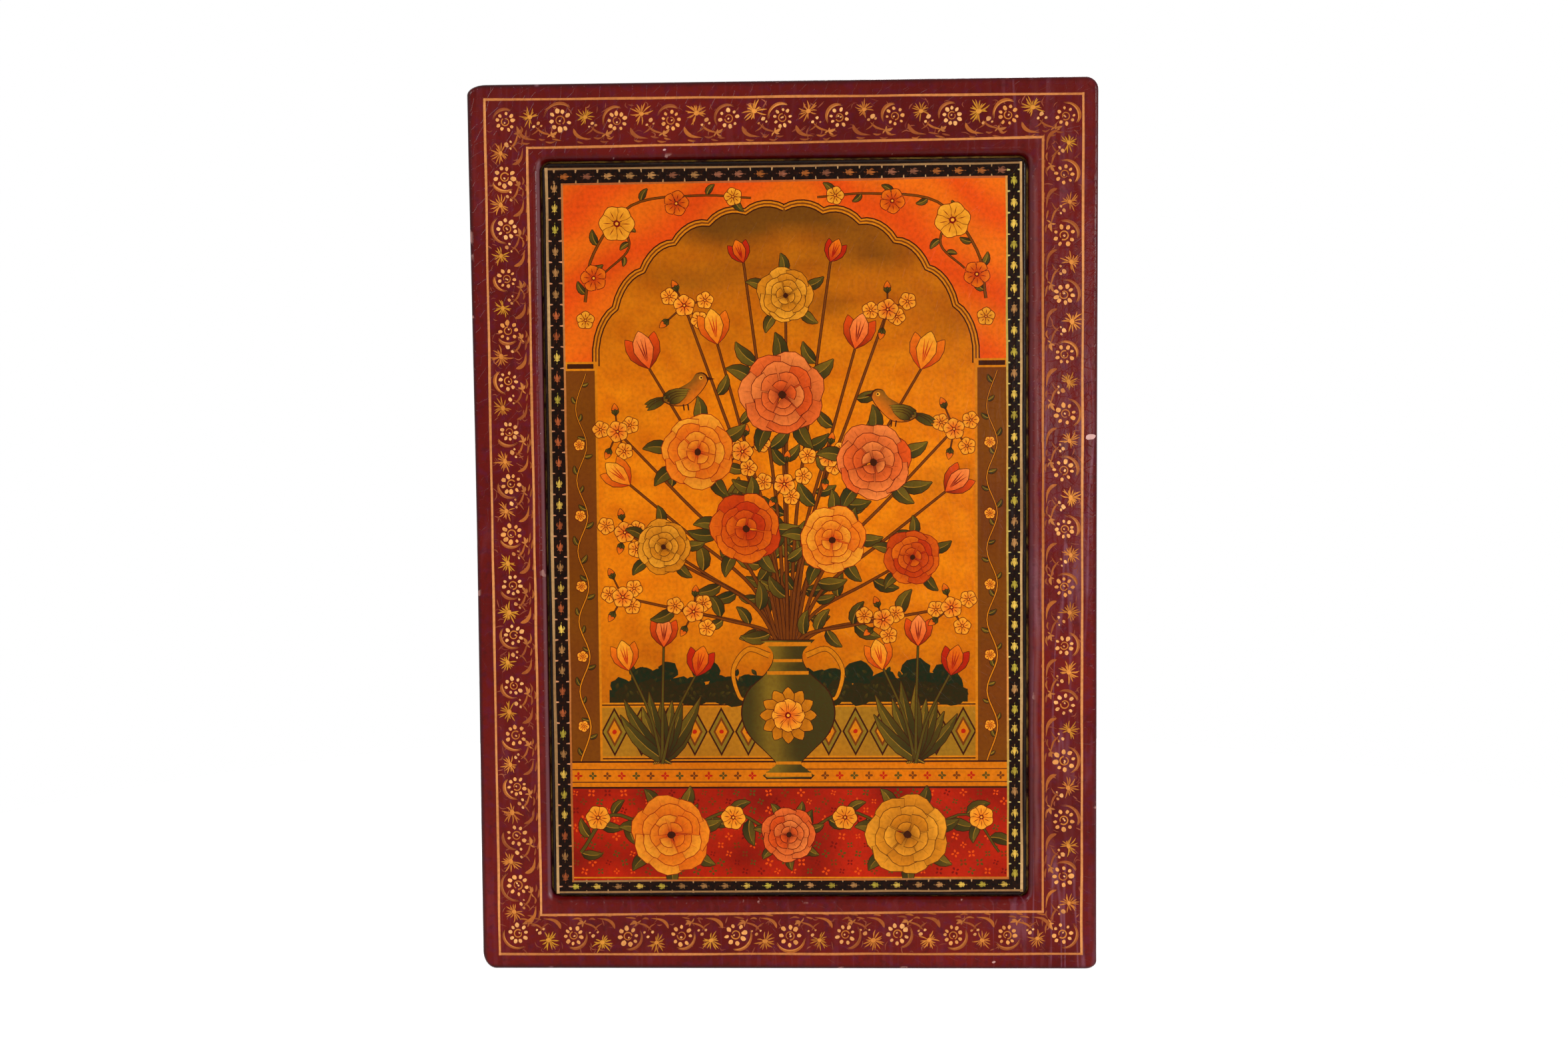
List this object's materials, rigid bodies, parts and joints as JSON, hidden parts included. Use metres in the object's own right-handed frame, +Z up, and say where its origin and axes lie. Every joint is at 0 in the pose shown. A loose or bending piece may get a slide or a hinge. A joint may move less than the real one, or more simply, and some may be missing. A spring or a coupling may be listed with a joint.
{
  "type": "mirror case",
  "caption": "Lacquered papier-mache mirror case: painted rectangular frame with a lift-out painted cover over a silvered glass mirror, standing on its flat bottom edge.",
  "frame": {"origin": "middle of the flat bottom edge, halfway through the depth", "axes": "+Z up along the height, -Y out of the painted front, +X to the right as seen from the front"},
  "size_m": [0.21, 0.018, 0.3],
  "materials": {
    "maroon_lacquer": "gloss",
    "dark_lacquer": "gloss",
    "cover_lacquer": "gloss",
    "cover_lining": "gloss",
    "pasteboard": "matte",
    "gilded_slip": "satin",
    "mirror_glass": "gloss",
    "silvering": "mirror",
    "felt_pad": "matte"
  },
  "bodies": {
    "case": {"front_skin": "maroon_lacquer", "frame_rail_left": "maroon_lacquer", "frame_rail_right": "maroon_lacquer", "frame_rail_top": "maroon_lacquer", "frame_rail_bottom": "maroon_lacquer", "wall_left": "maroon_lacquer", "wall_right": "maroon_lacquer", "wall_top": "maroon_lacquer", "wall_bottom": "maroon_lacquer", "back_board": "maroon_lacquer", "mirror_slip_left": "gilded_slip", "mirror_slip_right": "gilded_slip", "mirror_slip_top": "gilded_slip", "mirror_slip_bottom": "gilded_slip", "mirror_glass": "mirror_glass", "mirror_silvering": "silvering", "mirror_backing_pad": "felt_pad", "mirror_packing_left": "pasteboard", "mirror_packing_right": "pasteboard", "mirror_packing_top": "pasteboard", "mirror_packing_bottom": "pasteboard"},
    "cover": {"cover_face": "cover_lacquer", "cover_core": "dark_lacquer", "cover_lining": "cover_lining"}
  },
  "joints": [
    {"name": "cover_lift", "type": "slide", "parent": "case", "child": "cover", "axis": [0, -1, 0], "range_m": [0, 0.08]}
  ]
}
